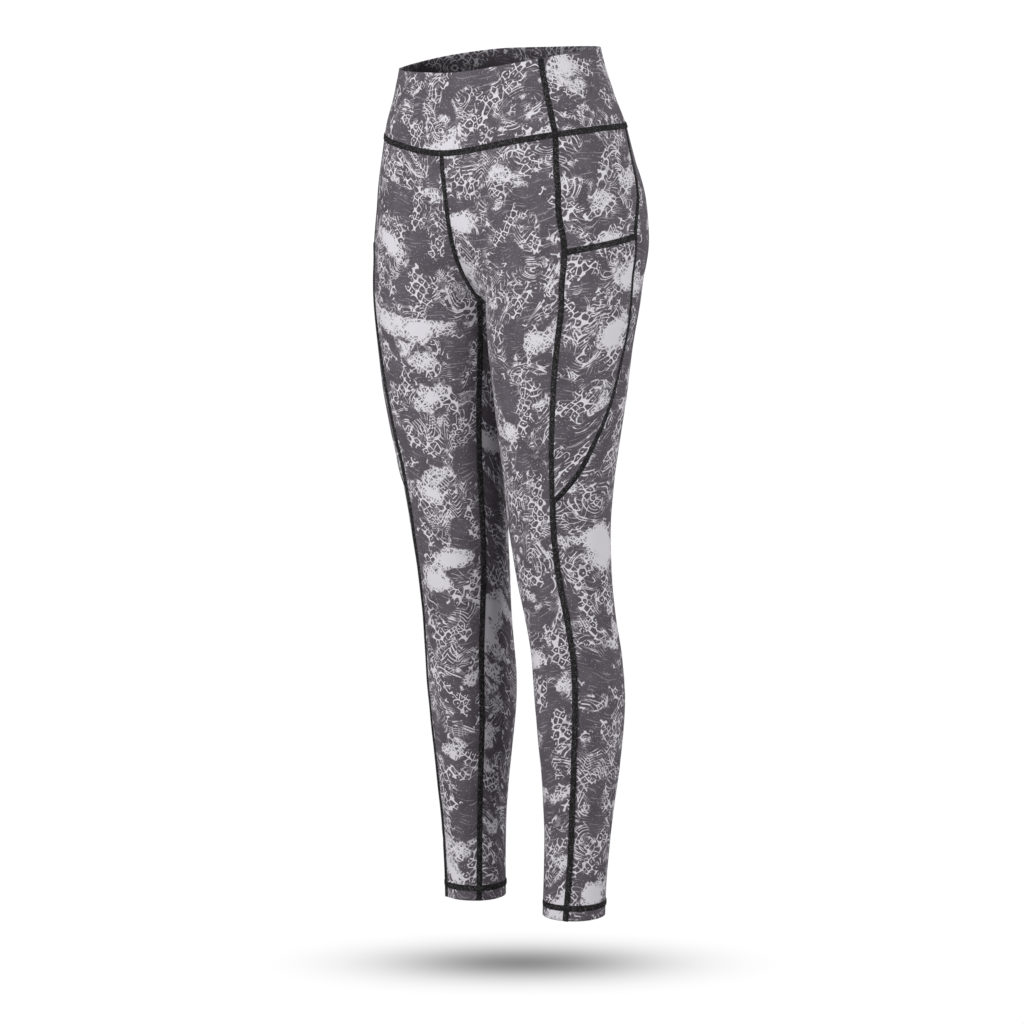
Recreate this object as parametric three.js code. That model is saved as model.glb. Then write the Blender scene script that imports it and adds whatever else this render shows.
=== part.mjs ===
import * as THREE from "three";

// High-waist leggings of seven-eighths length, hollow as they stand when filled out.
// Sizes are millimetres. +Z is up, -Y is the front and +X is the wearer's left side.
// The origin is inside the waist opening, level with its sides and straight above the crotch.
// The garment is symmetrical about X = 0, so only its left half is worked out and then mirrored.

const clothThickness = 1.2;
const doubledThickness = 2.2; // two layers: the waistband, and the turned-up hem
const seamGap = 0.3; // between pieces that a seam joins
const pocketLift = 0.3; // between the side panel and the pocket that lies on it

const hemEdge = -921.5; // height of the bottom edge of each leg
const hemAllowance = 14; // turned up inside, above that edge
const hemStep = 0.4; // height over which the wall grows from one layer to two

// The hips: plain sections across both sides. front and back are where they cross X = 0.
const hipSections = [
  { z: 30, halfWidth: 112, front: -97, back: 59 },
  { z: 0, halfWidth: 112, front: -97, back: 66 },
  { z: -40, halfWidth: 121, front: -101, back: 79 },
  { z: -80, halfWidth: 138, front: -104, back: 90 },
  { z: -110, halfWidth: 143, front: -103, back: 92 },
  { z: -155, halfWidth: 151, front: -97, back: 94 },
  { z: -190, halfWidth: 152, front: -90, back: 92 },
  { z: -220, halfWidth: 143, front: -78, back: 84 },
  { z: -245, halfWidth: 118, front: -60, back: 68 },
  { z: -262, halfWidth: 84, front: -38, back: 40 },
  { z: -272, halfWidth: 50, front: -16, back: 8 },
  { z: -276, halfWidth: 20, front: -8, back: -2 },
];
const hipSquareness = 2.3; // 2 is an ellipse, and more is squarer

// The left leg: its centre, and its reach from there to each side.
const legSections = [
  { z: 30, x: 45, y: -8, outer: 50, inner: 50, front: 60, back: 55 },
  { z: -80, x: 66, y: -2, outer: 60, inner: 60, front: 76, back: 74 },
  { z: -150, x: 76, y: 2, outer: 73, inner: 76, front: 86, back: 95 },
  { z: -200, x: 80, y: -3, outer: 80, inner: 79, front: 85, back: 97 },
  { z: -250, x: 82, y: -8, outer: 82, inner: 80, front: 79, back: 88 },
  { z: -310, x: 82.5, y: -11, outer: 77, inner: 79, front: 70, back: 76 },
  { z: -350, x: 82.5, y: -11, outer: 74, inner: 76, front: 64, back: 69 },
  { z: -400, x: 80.5, y: -10, outer: 68, inner: 70, front: 57, back: 62 },
  { z: -450, x: 78, y: -7, outer: 61.5, inner: 64, front: 50, back: 55 },
  { z: -500, x: 75, y: -3, outer: 57, inner: 59, front: 46.5, back: 52 },
  { z: -550, x: 75, y: 4, outer: 53, inner: 55, front: 45, back: 50 },
  { z: -600, x: 77, y: 12, outer: 49, inner: 50, front: 44, back: 51 },
  { z: -640, x: 79, y: 19, outer: 47.5, inner: 47.5, front: 46.5, back: 53 },
  { z: -680, x: 79, y: 23, outer: 46.5, inner: 45.5, front: 48.5, back: 55.5 },
  { z: -720, x: 79, y: 25, outer: 44, inner: 43.5, front: 46.5, back: 52.5 },
  { z: -760, x: 79, y: 25, outer: 40.5, inner: 40, front: 42, back: 48 },
  { z: -800, x: 78, y: 24, outer: 36.5, inner: 36, front: 38, back: 44 },
  { z: -840, x: 76.5, y: 23.5, outer: 34, inner: 33.5, front: 34, back: 40 },
  { z: -900, x: 74, y: 22.5, outer: 32.5, inner: 32.5, front: 32, back: 37.5 },
  { z: -940, x: 73, y: 22, outer: 32.5, inner: 32.5, front: 32, back: 37.5 },
];
// How far the hips and the two legs melt into each other.
const blendSizes = [
  { z: 30, reach: 24 },
  { z: -200, reach: 24 },
  { z: -240, reach: 18 },
  { z: -270, reach: 6 },
  { z: -290, reach: 1.5 },
  { z: -940, reach: 1.5 },
];
// The line that angles are measured about: the middle of the waist, then the middle of the leg.
// An angle of 0 faces out to the side, -90 to the front and 90 to the back.
const centreLine = [
  { z: 30, x: 0, y: -6 },
  { z: -112, x: 0, y: -6 },
  { z: -200, x: 45, y: -3 },
  { z: -270, x: 80, y: -9 },
  ...legSections.filter((row) => row.z <= -310).map(({ z, x, y }) => ({ z, x, y })),
];

// Seams that run down the leg, as angles about that line.
const frontSideSeam = [
  { z: 30, angle: -26 },
  { z: -85, angle: -26 },
  { z: -130, angle: -28.5 },
  { z: -170, angle: -32 },
  { z: -206, angle: -34.5 },
  { z: -250, angle: -44 },
  { z: -300, angle: -49.5 },
  { z: -360, angle: -53.5 },
  { z: -430, angle: -55 },
  { z: -540, angle: -53.5 },
  { z: -600, angle: -49.8 },
  { z: -650, angle: -50.5 },
  { z: -760, angle: -56 },
  { z: -870, angle: -58.5 },
  { z: -940, angle: -65 },
];
const backSideSeam = [
  { z: -75, angle: 18 },
  { z: -145, angle: 15 },
  { z: -190, angle: 10 },
  { z: -225, angle: 11 },
  { z: -285, angle: 14 },
  { z: -336, angle: 5 },
  { z: -379, angle: -6 },
  { z: -414, angle: -18.5 },
  { z: -432, angle: -26.5 },
  { z: -451, angle: -40 },
  { z: -466, angle: -54.4 },
];
const inseam = [
  { z: -262, angle: -158 },
  { z: -300, angle: -161 },
  { z: -500, angle: -162.5 },
  { z: -580, angle: -158 },
  { z: -680, angle: -148 },
  { z: -790, angle: -147 },
  { z: -940, angle: -142 },
];
const sidePointShare = 0.88; // how far the side panel's last row goes towards its point
const frontCrotchSlope = 48; // degrees below level, from the foot of the rise to the inseam's top
const lowestSlope = 90; // the same, to the lowest point of the crotch
const riseFoot = { y: -5, z: -222 }; // inside the body, above that lowest point

// Rows of the panels. Each row crosses the side seams at these heights, with as many rows between.
const levels = [
  { name: "waist seam", frontSide: -85, backSide: -75.5, rows: 6 },
  { name: "pocket mouth", frontSide: -205, backSide: -189.5, rows: 4 },
  { name: "crotch", frontSide: -276, backSide: -268, rows: 6 },
  { name: "side taper", frontSide: -410, backSide: -410, rows: 5 },
  { name: "side point", frontSide: -466, backSide: -466, rows: 19 },
  { name: "hem stitch", frontSide: hemEdge + hemAllowance + hemStep, rows: 1 },
  { name: "hem fold", frontSide: hemEdge + hemAllowance, rows: 1 },
  { name: "hem edge", frontSide: hemEdge, rows: 0 },
];
const searchReach = 180; // further than any point of the cloth lies from the centre line
const halvings = 40; // of that reach, to find the cloth
const mostMitre = 2; // at a panel's sharp corner, times half the seam gap
const riseSteps = 40; // fine points along each part of the rise, before it is spaced evenly
const waistFadeRows = 4; // rows over which the dip of the waist seam fades out
const frontColumns = 9;
const backColumns = 12;
const crotchColumns = 3; // from the innermost line of the leg forward to the inseam
const sideColumns = 8;
const bandRows = 4;
const bandFrontColumns = 16;
const bandBackColumns = 26;

const clothFinish = { color: 0x6a656c, roughness: 0.78, metalness: 0 };
const degree = Math.PI / 180;

const mix = (a, b, t) => a + (b - a) * t;

// A column of a table at height z, on a smooth curve through its rows that never overshoots them.
function sizeAt(rows, column, z) {
  let i = 0;
  while (i < rows.length - 2 && z < rows[i + 1].z) i++;
  const last = rows.length - 1;
  const slope = (k) => (rows[k + 1][column] - rows[k][column]) / (rows[k + 1].z - rows[k].z);
  const tangent = (k) => {
    if (k === 0) return slope(0);
    if (k === last) return slope(last - 1);
    const above = slope(k - 1);
    const below = slope(k);
    return above * below > 0 ? (2 * above * below) / (above + below) : 0;
  };
  const step = rows[i + 1].z - rows[i].z;
  const t = (z - rows[i].z) / step;
  const ease = t * t * (3 - 2 * t);
  const bend = t * (1 - t) ** 2 * tangent(i) - t * t * (1 - t) * tangent(i + 1);
  return mix(rows[i][column], rows[i + 1][column], ease) + step * bend;
}

// The smaller of two distances, with the corner between them rounded off.
function meld(a, b, reach) {
  const overlap = Math.max(reach - Math.abs(a - b), 0);
  return Math.min(a, b) - (overlap * overlap) / (4 * reach);
}

// About how far a point lies outside the cloth's outer face. It is negative inside.
function distanceOutside(x, y, z) {
  const side = Math.abs(x);
  const reach = sizeAt(blendSizes, "reach", z);
  const legCentre = { x: sizeAt(legSections, "x", z), y: sizeAt(legSections, "y", z) };
  const legAt = (across) => {
    const dx = across - legCentre.x;
    const dy = y - legCentre.y;
    const width = sizeAt(legSections, dx > 0 ? "outer" : "inner", z);
    const depth = sizeAt(legSections, dy > 0 ? "back" : "front", z);
    return (Math.hypot(dx / width, dy / depth) - 1) * Math.min(width, depth);
  };
  const legs = meld(legAt(side), legAt(-side), reach);
  if (z <= hipSections.at(-1).z) return legs;
  const front = sizeAt(hipSections, "front", z);
  const back = sizeAt(hipSections, "back", z);
  const halfWidth = sizeAt(hipSections, "halfWidth", z);
  const halfDepth = (back - front) / 2;
  const acrossShare = (side / halfWidth) ** hipSquareness;
  const alongShare = Math.abs((y - (front + back) / 2) / halfDepth) ** hipSquareness;
  const hips = ((acrossShare + alongShare) ** (1 / hipSquareness) - 1) * Math.min(halfWidth, halfDepth);
  return meld(hips, legs, reach);
}

// Where a ray from a point inside the body leaves it, no further than the limit.
function leaveBody(start, direction, limit = searchReach) {
  const at = (r) => start.clone().addScaledVector(direction, r);
  const outside = (p) => distanceOutside(p.x, p.y, p.z) > 0;
  if (!outside(at(limit))) return at(limit);
  let inner = 0;
  let outer = limit;
  for (let turn = 0; turn < halvings; turn++) {
    const middle = (inner + outer) / 2;
    if (outside(at(middle))) outer = middle;
    else inner = middle;
  }
  return at(inner);
}

// The point of the left half's outer face at an angle about the centre line and a height.
function facePoint(angle, z) {
  const start = new THREE.Vector3(sizeAt(centreLine, "x", z), sizeAt(centreLine, "y", z), z);
  const direction = new THREE.Vector3(Math.cos(angle * degree), Math.sin(angle * degree), 0);
  const toMiddle = direction.x < -1e-9 ? start.x / -direction.x : Infinity;
  return leaveBody(start, direction, Math.min(toMiddle, searchReach));
}

function faceNormal(point) {
  const h = 0.5;
  const { x, y, z } = point;
  return new THREE.Vector3(
    distanceOutside(x + h, y, z) - distanceOutside(x - h, y, z),
    distanceOutside(x, y + h, z) - distanceOutside(x, y - h, z),
    distanceOutside(x, y, z + h) - distanceOutside(x, y, z - h),
  ).normalize();
}

function angleOf(point) {
  const dx = point.x - sizeAt(centreLine, "x", point.z);
  const dy = point.y - sizeAt(centreLine, "y", point.z);
  return Math.atan2(dy, dx) / degree;
}

// Heights of the waistband's two edges: both dip at the front.
const rimHeight = (angle) => {
  const back = Math.sin(angle * degree);
  return 2 + 15 * back - 8 * back * back;
};
const waistSeamHeight = (angle) => {
  const back = Math.sin(angle * degree);
  return back < 0 ? -78 + 12 * back - 14 * (-back) ** 2.5 : -78 + 8 * back;
};

// The curve where the left half meets the right one: the centre front seam down to the inseam,
// or the centre back seam down to the lowest point of the crotch, and from there to the inseam.
function crotchPoint(slope) {
  const direction = new THREE.Vector3(0, -Math.cos(slope * degree), -Math.sin(slope * degree));
  return leaveBody(new THREE.Vector3(0, riseFoot.y, riseFoot.z), direction);
}
function risePoint(side, z) {
  return leaveBody(new THREE.Vector3(0, riseFoot.y, z), new THREE.Vector3(0, side, 0));
}
function crotchArc(fromSlope, toSlope) {
  return Array.from({ length: riseSteps + 1 }, (_, i) =>
    crotchPoint(mix(fromSlope, toSlope, i / riseSteps)),
  );
}
function riseCurve(side, lastSlope) {
  const top = waistSeamHeight(90 * side);
  const straight = Array.from({ length: riseSteps }, (_, i) =>
    risePoint(side, mix(top, riseFoot.z, i / riseSteps)),
  );
  return [...straight, ...crotchArc(side < 0 ? 0 : 180, lastSlope)];
}
// As many points as asked, evenly along a curve.
function evenly(points, count) {
  const runs = [0];
  for (let i = 1; i < points.length; i++) runs.push(runs[i - 1] + points[i].distanceTo(points[i - 1]));
  return Array.from({ length: count + 1 }, (_, k) => {
    const wanted = (runs.at(-1) * k) / count;
    const i = Math.max(1, runs.findIndex((run) => run >= wanted - 1e-9));
    return points[i - 1].clone().lerp(points[i], (wanted - runs[i - 1]) / (runs[i] - runs[i - 1]));
  });
}

// The heights of every row on the front-side and back-side seams, and its wall.
const rows = [];
for (let k = 0; k < levels.length; k++) {
  const from = levels[k];
  const to = levels[k + 1] ?? from;
  const thickness = from.name === "hem fold" || from.name === "hem edge" ? doubledThickness : clothThickness;
  for (let i = 0; i < Math.max(from.rows, 1); i++) {
    const t = from.rows ? i / from.rows : 0;
    rows.push({
      frontSide: mix(from.frontSide, to.frontSide, t),
      backSide: mix(from.backSide ?? from.frontSide, to.backSide ?? to.frontSide, t),
      thickness,
    });
  }
}
const levelRow = (name) => {
  let row = 0;
  for (const level of levels) {
    if (level.name === name) return row;
    row += level.rows;
  }
  throw new Error("no level " + name);
};
const crotchRow = levelRow("crotch");
const sidePointRow = levelRow("side point");
const mouthRow = levelRow("pocket mouth");

const inseamTop = crotchPoint(frontCrotchSlope);
const innermost = crotchPoint(lowestSlope);
const frontRise = evenly(riseCurve(-1, frontCrotchSlope), crotchRow);
const backRise = evenly(riseCurve(1, lowestSlope), crotchRow);
const underCrotch = evenly(crotchArc(lowestSlope, frontCrotchSlope), crotchColumns);

// The angle and height of a row's end on the inseam, below the crotch.
function inseamEnd(row) {
  const z = mixHeight(rows[row].frontSide, inseamTop.z);
  return { angle: sizeAt(inseam, "angle", z), z };
}
// Rows start at the given height under the crotch and are level again at the side point.
function mixHeight(z, topHeight) {
  const top = rows[crotchRow].frontSide;
  const level = rows[sidePointRow].frontSide;
  return z < level ? z : mix(topHeight, level, (top - z) / (top - level));
}

// One row of a panel: points on the outer face from one end to the other.
function rowPoints(from, to, columns, row) {
  const fade = Math.max(1 - row / waistFadeRows, 0);
  return Array.from({ length: columns + 1 }, (_, i) => {
    const t = i / columns;
    if (i === 0 && from.point) return from.point.clone();
    if (i === columns && to.point) return to.point.clone();
    const angle = mix(from.angle, to.angle, t);
    const dip = waistSeamHeight(angle) - mix(waistSeamHeight(from.topAngle), waistSeamHeight(to.topAngle), t);
    return facePoint(angle, mix(from.z, to.z, t) + fade * dip);
  });
}
// A row's end on a side seam. The first row follows the waist seam's own height.
function seamEnd(seam, row) {
  const z = seam === frontSideSeam ? rows[row].frontSide : rows[row].backSide;
  const topAngle = sizeAt(seam, "angle", seam === frontSideSeam ? rows[0].frontSide : rows[0].backSide);
  if (row === 0) return { angle: topAngle, z: waistSeamHeight(topAngle), topAngle };
  return { angle: sizeAt(seam, "angle", z), z, topAngle };
}
const pointEnd = (point, topAngle) => ({ angle: angleOf(point), z: point.z, point, topAngle });

// A sheet is a list of points on the outer face with the wall's thickness there, and triangles.
const newSheet = () => ({ points: [], thickness: [], triangles: [] });
function addGrid(sheet, grid, thickness) {
  const ids = grid.map((line, j) =>
    line.map((point) => {
      const known = sheet.points.findIndex((other) => other.distanceTo(point) < 1e-6);
      if (known >= 0) return known;
      sheet.points.push(point);
      sheet.thickness.push(thickness[j]);
      return sheet.points.length - 1;
    }),
  );
  const add = (...corners) => {
    if (new Set(corners).size === 3) sheet.triangles.push(corners);
  };
  for (let j = 0; j + 1 < ids.length; j++) {
    for (let i = 0; i + 1 < ids[j].length; i++) {
      add(ids[j + 1][i], ids[j + 1][i + 1], ids[j][i + 1]);
      add(ids[j + 1][i], ids[j][i + 1], ids[j][i]);
    }
  }
  return sheet;
}

// The sheet's outline as pairs of points, each with the sheet on its left.
function outlineOf(sheet) {
  const edges = new Map();
  for (const [a, b, c] of sheet.triangles) {
    for (const [from, to] of [[a, b], [b, c], [c, a]]) {
      if (!edges.delete(to + "-" + from)) edges.set(from + "-" + to, [from, to]);
    }
  }
  return [...edges.values()];
}

// Draws the sheet's outline in by half the seam gap, so that its neighbour stays clear of it.
function drawIn(sheet, normals) {
  const inward = new Map();
  for (const [from, to] of outlineOf(sheet)) {
    const along = sheet.points[to].clone().sub(sheet.points[from]).normalize();
    for (const id of [from, to]) {
      const side = normals[id].clone().cross(along).normalize();
      inward.set(id, [...(inward.get(id) ?? []), side]);
    }
  }
  for (const [id, sides] of inward) {
    const middle = sides[0].clone().add(sides[1]).normalize();
    sheet.points[id].addScaledVector(middle, (seamGap / 2) * Math.min(1 / middle.dot(sides[0]), mostMitre));
  }
}

// A closed wall from a sheet: its outer face moved out by lift, its inner face, and its edges.
function wallOf(sheet, lift = 0) {
  const normals = sheet.normals;
  const count = sheet.points.length;
  const positions = [];
  for (const depth of [0, 1]) {
    sheet.points.forEach((point, id) => {
      const out = lift - depth * sheet.thickness[id];
      positions.push(...point.clone().addScaledVector(normals[id], out).toArray());
    });
  }
  const index = [];
  for (const [a, b, c] of sheet.triangles) index.push(a, b, c, count + a, count + c, count + b);
  for (const [from, to] of outlineOf(sheet)) {
    index.push(from, count + from, count + to, from, count + to, to);
  }
  const geometry = new THREE.BufferGeometry();
  geometry.setAttribute("position", new THREE.Float32BufferAttribute(positions, 3));
  geometry.setIndex(index);
  geometry.computeVertexNormals();
  return geometry;
}

function finished(sheet) {
  sheet.normals = sheet.points.map(faceNormal);
  drawIn(sheet, sheet.normals);
  return sheet;
}
// The same for a sheet of the left half, which stays clear of the right one.
function finishedLeft(sheet) {
  finished(sheet);
  for (const point of sheet.points) point.x = Math.max(point.x, seamGap / 2);
  return sheet;
}

// The same wall on the wearer's other side.
function mirrored(geometry) {
  const copy = geometry.clone();
  const position = copy.getAttribute("position");
  for (let i = 0; i < position.count; i++) position.setX(i, -position.getX(i));
  const index = copy.getIndex();
  for (let i = 0; i < index.count; i += 3) {
    const kept = index.getX(i + 1);
    index.setX(i + 1, index.getX(i + 2));
    index.setX(i + 2, kept);
  }
  copy.computeVertexNormals();
  return copy;
}

// From the centre front seam and the inseam round to the front-side seam, waist to hem.
function frontPanel() {
  const grid = rows.map((row, j) => {
    const inner =
      j <= crotchRow ? pointEnd(frontRise[j], -90) : { ...inseamEnd(j), topAngle: -90 };
    return rowPoints(inner, seamEnd(frontSideSeam, j), frontColumns, j);
  });
  return finishedLeft(addGrid(newSheet(), grid, rows.map((row) => row.thickness)));
}

// From the back-side seam, or below its point the front-side seam, round the back to the
// centre back seam, and on under the crotch and down the inner leg to the inseam.
function backPanel() {
  const thickness = rows.map((row) => row.thickness);
  const outerEnd = (j) => seamEnd(j < sidePointRow ? backSideSeam : frontSideSeam, j);
  const innerEnd = (j) => {
    if (j < crotchRow) return pointEnd(backRise[j], 90);
    if (j === crotchRow) return { ...pointEnd(innermost, 90), angle: 180 };
    return { angle: 180, z: mixHeight(rows[j].frontSide, innermost.z), topAngle: 90 };
  };
  const behind = rows.map((row, j) => rowPoints(outerEnd(j), innerEnd(j), backColumns, j));
  const inside = rows.slice(crotchRow).map((row, k) => {
    const j = crotchRow + k;
    if (k === 0) return underCrotch;
    const end = inseamEnd(j);
    const far = { angle: end.angle + 360, z: end.z, topAngle: 90 };
    return rowPoints({ ...innerEnd(j), point: behind[j].at(-1) }, far, crotchColumns, j);
  });
  const sheet = addGrid(newSheet(), behind, thickness);
  return finishedLeft(addGrid(sheet, inside, thickness.slice(crotchRow)));
}

// The teardrop between the front-side and back-side seams.
function sidePanel() {
  const upper = rows.slice(0, sidePointRow);
  const grid = upper.map((row, j) =>
    rowPoints(seamEnd(frontSideSeam, j), seamEnd(backSideSeam, j), sideColumns, j),
  );
  const tip = seamEnd(frontSideSeam, sidePointRow);
  const tipPoint = facePoint(tip.angle, tip.z);
  grid.push(grid.at(-1).map((point) => point.clone().lerp(tipPoint, sidePointShare)));
  return finishedLeft(addGrid(newSheet(), grid, grid.map(() => clothThickness)));
}

// The pocket front: the side panel's own points from the mouth down, to be moved out.
function pocketPanel(side) {
  const first = mouthRow * (sideColumns + 1);
  return {
    points: side.points.slice(first),
    normals: side.normals.slice(first),
    thickness: side.thickness.slice(first),
    triangles: side.triangles
      .filter((corners) => corners.every((id) => id >= first))
      .map((corners) => corners.map((id) => id - first)),
  };
}

function waistband(fromAngle, toAngle, columns) {
  const grid = Array.from({ length: bandRows + 1 }, (_, j) =>
    Array.from({ length: columns + 1 }, (_, i) => {
      const angle = mix(fromAngle, toAngle, i / columns);
      const z = mix(rimHeight(angle), waistSeamHeight(angle), j / bandRows);
      const onLeft = Math.cos(angle * degree) >= 0;
      const point = facePoint(onLeft ? angle : 180 - angle, z);
      return onLeft ? point : point.multiply(new THREE.Vector3(-1, 1, 1));
    }),
  );
  return finished(addGrid(newSheet(), grid, Array(bandRows + 1).fill(doubledThickness)));
}

const leggings = new THREE.Group();
leggings.name = "leggings";
function addPiece(name, geometry) {
  const piece = new THREE.Mesh(geometry, new THREE.MeshStandardMaterial(clothFinish));
  piece.name = name;
  leggings.add(piece);
}
function addPair(name, geometry) {
  addPiece(name + "_left", geometry);
  addPiece(name + "_right", mirrored(geometry));
}

const bandSeamAngle = seamEnd(frontSideSeam, 0).angle;
addPiece("waistband_front", wallOf(waistband(-180 - bandSeamAngle, bandSeamAngle, bandFrontColumns)));
addPiece("waistband_back", wallOf(waistband(bandSeamAngle, 180 - bandSeamAngle, bandBackColumns)));
addPair("front", wallOf(frontPanel()));
addPair("back", wallOf(backPanel()));
const side = sidePanel();
addPair("side", wallOf(side));
addPair("pocket", wallOf(pocketPanel(side), pocketLift + clothThickness));

export default leggings;
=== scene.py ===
import math
import bpy
import numpy as np
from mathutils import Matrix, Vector


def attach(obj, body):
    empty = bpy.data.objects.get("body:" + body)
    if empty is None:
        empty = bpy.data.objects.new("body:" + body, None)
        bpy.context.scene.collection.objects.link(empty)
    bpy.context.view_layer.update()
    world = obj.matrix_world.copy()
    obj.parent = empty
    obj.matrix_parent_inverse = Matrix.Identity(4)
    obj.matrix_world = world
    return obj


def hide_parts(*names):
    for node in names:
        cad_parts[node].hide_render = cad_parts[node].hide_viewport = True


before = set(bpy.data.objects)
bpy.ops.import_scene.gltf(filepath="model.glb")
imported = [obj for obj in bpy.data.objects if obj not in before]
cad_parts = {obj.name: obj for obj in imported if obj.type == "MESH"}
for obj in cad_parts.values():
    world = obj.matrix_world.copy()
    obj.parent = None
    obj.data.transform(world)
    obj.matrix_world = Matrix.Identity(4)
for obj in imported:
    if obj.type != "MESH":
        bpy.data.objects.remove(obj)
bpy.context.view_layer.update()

# High-waist leggings with side pockets and an all-over print, hollow as when filled out.
# Everything is in metres. +Z is up, -Y is the front and +X is the wearer's left side.
# The left half's panels are worked out and mirrored, then each side gets its own creases.

bpy.ops.object.select_all(action="DESELECT")
print("frame loaded")


def table(columns, *rows):
    return {name: np.array(values, float) for name, values in zip(columns.split(), zip(*rows))}


# Form of the body: the hips across both sides, and the left leg round its own centre.
hips = table(
    "z halfWidth front back",
    (0.03, 0.112, -0.097, 0.059), (0, 0.112, -0.097, 0.066), (-0.04, 0.121, -0.101, 0.079),
    (-0.08, 0.138, -0.104, 0.09), (-0.11, 0.143, -0.103, 0.092), (-0.155, 0.151, -0.097, 0.094),
    (-0.19, 0.152, -0.09, 0.092), (-0.22, 0.143, -0.078, 0.084), (-0.245, 0.118, -0.06, 0.068),
    (-0.262, 0.084, -0.038, 0.04), (-0.272, 0.05, -0.016, 0.008), (-0.276, 0.02, -0.008, -0.002),
)
leg = table(
    "z x y outer inner front back",
    (0.03, 0.045, -0.008, 0.05, 0.05, 0.06, 0.055),
    (-0.08, 0.066, -0.002, 0.06, 0.06, 0.076, 0.074),
    (-0.15, 0.076, 0.002, 0.073, 0.076, 0.086, 0.095),
    (-0.2, 0.08, -0.003, 0.08, 0.079, 0.085, 0.097),
    (-0.25, 0.082, -0.008, 0.082, 0.08, 0.079, 0.088),
    (-0.31, 0.0825, -0.011, 0.077, 0.079, 0.07, 0.076),
    (-0.35, 0.0825, -0.011, 0.074, 0.076, 0.064, 0.069),
    (-0.4, 0.0805, -0.01, 0.068, 0.07, 0.057, 0.062),
    (-0.45, 0.078, -0.007, 0.0615, 0.064, 0.05, 0.055),
    (-0.5, 0.075, -0.003, 0.057, 0.059, 0.0465, 0.052),
    (-0.55, 0.075, 0.004, 0.053, 0.055, 0.045, 0.05),
    (-0.6, 0.077, 0.012, 0.049, 0.05, 0.044, 0.051),
    (-0.64, 0.079, 0.019, 0.0475, 0.0475, 0.0465, 0.053),
    (-0.68, 0.079, 0.023, 0.0465, 0.0455, 0.0485, 0.0555),
    (-0.72, 0.079, 0.025, 0.044, 0.0435, 0.0465, 0.0525),
    (-0.76, 0.079, 0.025, 0.0405, 0.04, 0.042, 0.048),
    (-0.8, 0.078, 0.024, 0.0365, 0.036, 0.038, 0.044),
    (-0.84, 0.0765, 0.0235, 0.034, 0.0335, 0.034, 0.04),
    (-0.9, 0.074, 0.0225, 0.0325, 0.0325, 0.032, 0.0375),
    (-0.94, 0.073, 0.022, 0.0325, 0.0325, 0.032, 0.0375),
)
blends = table(
    "z reach",
    (0.03, 0.024), (-0.2, 0.024), (-0.24, 0.018), (-0.27, 0.006), (-0.29, 0.0015), (-0.94, 0.0015),
)
frontSideLine = table(
    "z angle",
    (0.03, -29.8), (-0.085, -24.7), (-0.13, -25.6), (-0.17, -30.6), (-0.206, -34.5), (-0.25, -44),
    (-0.3, -49.5), (-0.36, -53.5), (-0.43, -55), (-0.54, -53.5), (-0.6, -49.8), (-0.65, -50.5),
    (-0.76, -56), (-0.87, -58.5), (-0.94, -65),
)
backSideLine = table(
    "z angle",
    (-0.075, 20.5), (-0.145, 16), (-0.19, 10), (-0.225, 11), (-0.285, 14), (-0.336, 5), (-0.379, -6),
    (-0.414, -18.5), (-0.432, -26.5), (-0.451, -40), (-0.466, -54.4),
)
inseamLine = table(
    "z angle",
    (-0.262, -158), (-0.3, -161), (-0.5, -162.5), (-0.58, -158), (-0.68, -148), (-0.79, -147),
    (-0.94, -142),
)

hipSquareness = 2.3  # 2 is an ellipse, and more is squarer
centreLine = {  # middle of the waist at the top, middle of the leg from the crotch down
    "z": np.concatenate([[0.03, -0.112, -0.2, -0.27], leg["z"][5:]]),
    "x": np.concatenate([[0, 0, 0.045, 0.08], leg["x"][5:]]),
    "y": np.concatenate([[-0.006, -0.006, -0.003, -0.009], leg["y"][5:]]),
}
rise = {
    "footY": -0.005,
    "footZ": -0.222,
    "inseamSlope": 48,  # degrees below level, from the foot to the top of the inseam
    "lowestSlope": 90,
    "fineSteps": 40,
    "inseamJoin": 0.03,
}
hem = {"edge": -0.9215, "turnUp": 0.014, "step": 0.0004}
searchReach = 0.18  # further than any cloth lies from the centre line
halvings = 32
normalStep = 0.0005


# A column of a table at each height, on a smooth curve that never overshoots its rows.
def sizeAt(rows, column, z):
    heights, sizes = rows["z"], rows[column]
    slopes = np.diff(sizes) / np.diff(heights)
    above, below = slopes[:-1], slopes[1:]
    oneWay = above * below > 0
    joined = np.where(oneWay, 2 * above * below / np.where(oneWay, above + below, 1), 0)
    tangents = np.concatenate([slopes[:1], joined, slopes[-1:]])
    i = np.clip(np.searchsorted(-heights, -z) - 1, 0, len(heights) - 2)
    step = heights[i + 1] - heights[i]
    t = (z - heights[i]) / step
    bend = t * (1 - t) ** 2 * tangents[i] - t * t * (1 - t) * tangents[i + 1]
    return sizes[i] + (sizes[i + 1] - sizes[i]) * t * t * (3 - 2 * t) + step * bend


# The smaller of two distances, with the corner between them rounded off.
def meld(a, b, reach):
    overlap = np.maximum(reach - np.abs(a - b), 0)
    return np.minimum(a, b) - overlap * overlap / (4 * reach)


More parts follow.
